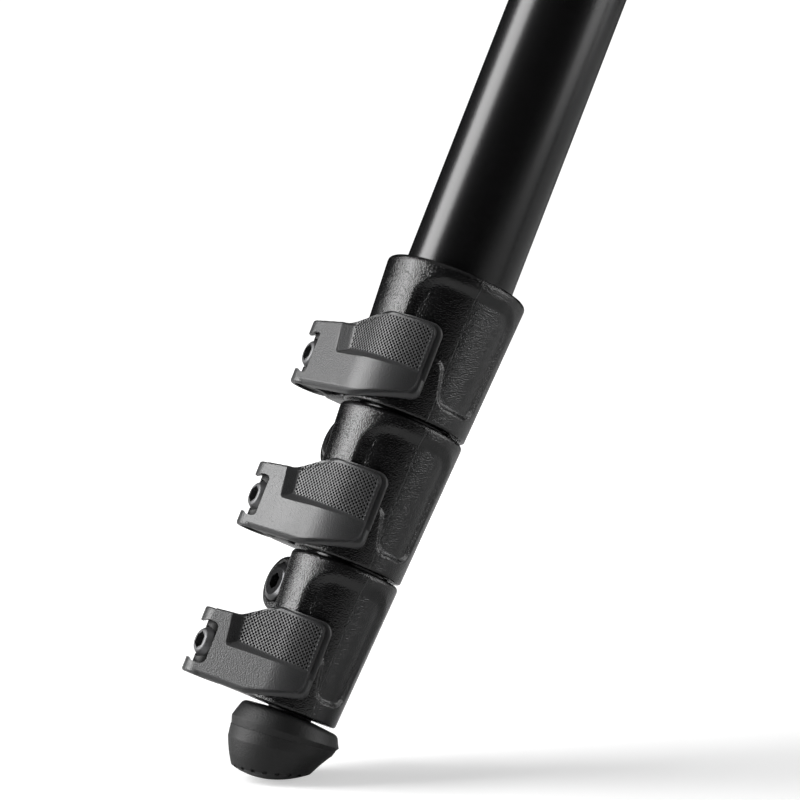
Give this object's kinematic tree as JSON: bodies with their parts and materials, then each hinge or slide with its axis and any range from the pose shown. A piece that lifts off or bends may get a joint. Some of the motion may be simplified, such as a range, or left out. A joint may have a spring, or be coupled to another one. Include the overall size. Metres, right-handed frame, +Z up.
{
  "type": "camera tripod",
  "caption": "Travel camera tripod: spread legs of nested tubes with lever locks and rubber feet, a hinged shoulder, a locking centre column and a top plate with a camera screw.",
  "frame": {"origin": "centre of the flat top end of the camera screw", "axes": "+Z up, along the centre column; +Y towards leg 3; +X to the right; leg 1, the pictured one, stands at 210 degrees from +X seen from above and leg 2 at 330 degrees"},
  "size_m": [0.3579, 0.3188, 0.3924],
  "materials": {
    "tube": "black anodised, satin",
    "lock": "black glass-filled plastic with a fine grain",
    "lever": "dark grey plastic with a fine grain and a dotted grip",
    "screw": "black oxide steel",
    "rubber": "matte black rubber",
    "casting": "black powder coat over cast aluminium",
    "catch": "grey plastic",
    "pad": "ribbed black rubber",
    "steel": "bright steel"
  },
  "bodies": {
    "shoulder": {"shoulder": "casting", "column_bush": "lock", "leg_1_hinge_bolt": "screw", "leg_2_hinge_bolt": "screw", "leg_3_hinge_bolt": "screw"},
    "column": {"centre_column": "tube", "top_plate": "casting", "plate_pad": "pad", "camera_screw": "steel", "column_end_cap": "lock"},
    "column_lock_knob": {"column_lock_knob": "lock"},
    "weight_hook": {"weight_hook": "steel"},
    "leg_1_upper": {"leg_1_knuckle": "casting", "leg_1_tube_1": "tube", "leg_1_lock_1_collar": "lock", "leg_1_lock_1_screw": "screw"},
    "leg_1_second": {"leg_1_tube_2": "tube", "leg_1_lock_2_collar": "lock", "leg_1_lock_2_screw": "screw"},
    "leg_1_third": {"leg_1_tube_3": "tube", "leg_1_lock_3_collar": "lock", "leg_1_lock_3_screw": "screw"},
    "leg_1_fourth": {"leg_1_tube_4": "tube", "leg_1_foot": "rubber"},
    "leg_1_angle_latch": {"leg_1_angle_latch": "catch"},
    "leg_1_lock_1_lever": {"leg_1_lock_1_lever": "lever"},
    "leg_1_lock_2_lever": {"leg_1_lock_2_lever": "lever"},
    "leg_1_lock_3_lever": {"leg_1_lock_3_lever": "lever"},
    "leg_2_upper": {"leg_2_knuckle": "casting", "leg_2_tube_1": "tube", "leg_2_lock_1_collar": "lock", "leg_2_lock_1_screw": "screw"},
    "leg_2_second": {"leg_2_tube_2": "tube", "leg_2_lock_2_collar": "lock", "leg_2_lock_2_screw": "screw"},
    "leg_2_third": {"leg_2_tube_3": "tube", "leg_2_lock_3_collar": "lock", "leg_2_lock_3_screw": "screw"},
    "leg_2_fourth": {"leg_2_tube_4": "tube", "leg_2_foot": "rubber"},
    "leg_2_angle_latch": {"leg_2_angle_latch": "catch"},
    "leg_2_lock_1_lever": {"leg_2_lock_1_lever": "lever"},
    "leg_2_lock_2_lever": {"leg_2_lock_2_lever": "lever"},
    "leg_2_lock_3_lever": {"leg_2_lock_3_lever": "lever"},
    "leg_3_upper": {"leg_3_knuckle": "casting", "leg_3_tube_1": "tube", "leg_3_lock_1_collar": "lock", "leg_3_lock_1_screw": "screw"},
    "leg_3_second": {"leg_3_tube_2": "tube", "leg_3_lock_2_collar": "lock", "leg_3_lock_2_screw": "screw"},
    "leg_3_third": {"leg_3_tube_3": "tube", "leg_3_lock_3_collar": "lock", "leg_3_lock_3_screw": "screw"},
    "leg_3_fourth": {"leg_3_tube_4": "tube", "leg_3_foot": "rubber"},
    "leg_3_angle_latch": {"leg_3_angle_latch": "catch"},
    "leg_3_lock_1_lever": {"leg_3_lock_1_lever": "lever"},
    "leg_3_lock_2_lever": {"leg_3_lock_2_lever": "lever"},
    "leg_3_lock_3_lever": {"leg_3_lock_3_lever": "lever"}
  },
  "joints": [
    {"name": "leg_1_spread", "type": "hinge", "parent": "shoulder", "child": "leg_1_upper", "pos_m": [-0.03291, -0.019, -0.0446], "axis": [-0.5, 0.866, 0], "range_deg": [-24, 156]},
    {"name": "leg_1_angle_latch_pull", "type": "slide", "parent": "leg_1_upper", "child": "leg_1_angle_latch", "axis": [-0.7912, -0.4568, 0.4067], "range_m": [0, 0.0035]},
    {"name": "leg_1_section_2_slide", "type": "slide", "parent": "leg_1_upper", "child": "leg_1_second", "axis": [-0.3522, -0.2034, -0.9135], "range_m": [0, 0.215]},
    {"name": "leg_1_section_3_slide", "type": "slide", "parent": "leg_1_second", "child": "leg_1_third", "axis": [-0.3522, -0.2034, -0.9135], "range_m": [0, 0.24]},
    {"name": "leg_1_section_4_slide", "type": "slide", "parent": "leg_1_third", "child": "leg_1_fourth", "axis": [-0.3522, -0.2034, -0.9135], "range_m": [0, 0.265]},
    {"name": "leg_1_lock_1_open", "type": "hinge", "parent": "leg_1_upper", "child": "leg_1_lock_1_lever", "pos_m": [-0.15688, -0.0737, -0.31115], "axis": [-0.3522, -0.2034, -0.9135], "range_deg": [0, 105]},
    {"name": "leg_1_lock_2_open", "type": "hinge", "parent": "leg_1_second", "child": "leg_1_lock_2_lever", "pos_m": [-0.16712, -0.08254, -0.33895], "axis": [-0.3522, -0.2034, -0.9135], "range_deg": [0, 105]},
    {"name": "leg_1_lock_3_open", "type": "hinge", "parent": "leg_1_third", "child": "leg_1_lock_3_lever", "pos_m": [-0.17717, -0.09132, -0.36684], "axis": [-0.3522, -0.2034, -0.9135], "range_deg": [0, 105]},
    {"name": "leg_2_spread", "type": "hinge", "parent": "shoulder", "child": "leg_2_upper", "pos_m": [0.03291, -0.019, -0.0446], "axis": [-0.5, -0.866, 0], "range_deg": [-24, 156]},
    {"name": "leg_2_angle_latch_pull", "type": "slide", "parent": "leg_2_upper", "child": "leg_2_angle_latch", "axis": [0.7912, -0.4568, 0.4067], "range_m": [0, 0.0035]},
    {"name": "leg_2_section_2_slide", "type": "slide", "parent": "leg_2_upper", "child": "leg_2_second", "axis": [0.3522, -0.2034, -0.9135], "range_m": [0, 0.215]},
    {"name": "leg_2_section_3_slide", "type": "slide", "parent": "leg_2_second", "child": "leg_2_third", "axis": [0.3522, -0.2034, -0.9135], "range_m": [0, 0.24]},
    {"name": "leg_2_section_4_slide", "type": "slide", "parent": "leg_2_third", "child": "leg_2_fourth", "axis": [0.3522, -0.2034, -0.9135], "range_m": [0, 0.265]},
    {"name": "leg_2_lock_1_open", "type": "hinge", "parent": "leg_2_upper", "child": "leg_2_lock_1_lever", "pos_m": [0.14227, -0.09901, -0.31115], "axis": [0.3522, -0.2034, -0.9135], "range_deg": [0, 105]},
    {"name": "leg_2_lock_2_open", "type": "hinge", "parent": "leg_2_second", "child": "leg_2_lock_2_lever", "pos_m": [0.15505, -0.10346, -0.33895], "axis": [0.3522, -0.2034, -0.9135], "range_deg": [0, 105]},
    {"name": "leg_2_lock_3_open", "type": "hinge", "parent": "leg_2_third", "child": "leg_2_lock_3_lever", "pos_m": [0.16767, -0.10777, -0.36684], "axis": [0.3522, -0.2034, -0.9135], "range_deg": [0, 105]},
    {"name": "leg_3_spread", "type": "hinge", "parent": "shoulder", "child": "leg_3_upper", "pos_m": [0, 0.038, -0.0446], "axis": [1, 0, 0], "range_deg": [-24, 156]},
    {"name": "leg_3_angle_latch_pull", "type": "slide", "parent": "leg_3_upper", "child": "leg_3_angle_latch", "axis": [0, 0.9135, 0.4067], "range_m": [0, 0.0035]},
    {"name": "leg_3_section_2_slide", "type": "slide", "parent": "leg_3_upper", "child": "leg_3_second", "axis": [0, 0.4067, -0.9135], "range_m": [0, 0.215]},
    {"name": "leg_3_section_3_slide", "type": "slide", "parent": "leg_3_second", "child": "leg_3_third", "axis": [0, 0.4067, -0.9135], "range_m": [0, 0.24]},
    {"name": "leg_3_section_4_slide", "type": "slide", "parent": "leg_3_third", "child": "leg_3_fourth", "axis": [0, 0.4067, -0.9135], "range_m": [0, 0.265]},
    {"name": "leg_3_lock_1_open", "type": "hinge", "parent": "leg_3_upper", "child": "leg_3_lock_1_lever", "pos_m": [0.01461, 0.17272, -0.31115], "axis": [0, 0.4067, -0.9135], "range_deg": [0, 105]},
    {"name": "leg_3_lock_2_open", "type": "hinge", "parent": "leg_3_second", "child": "leg_3_lock_2_lever", "pos_m": [0.01208, 0.18601, -0.33895], "axis": [0, 0.4067, -0.9135], "range_deg": [0, 105]},
    {"name": "leg_3_lock_3_open", "type": "hinge", "parent": "leg_3_third", "child": "leg_3_lock_3_lever", "pos_m": [0.0095, 0.19909, -0.36684], "axis": [0, 0.4067, -0.9135], "range_deg": [0, 105]},
    {"name": "column_slide", "type": "slide", "parent": "shoulder", "child": "column", "axis": [0, 0, 1], "range_m": [0, 0.185]},
    {"name": "column_lock_turn", "type": "hinge", "parent": "shoulder", "child": "column_lock_knob", "pos_m": [0, 0, -0.0446], "axis": [0.866, 0.5, 0], "continuous": true},
    {"name": "weight_hook_drop", "type": "slide", "parent": "column", "child": "weight_hook", "axis": [0, 0, -1], "range_m": [0, 0.01]}
  ]
}
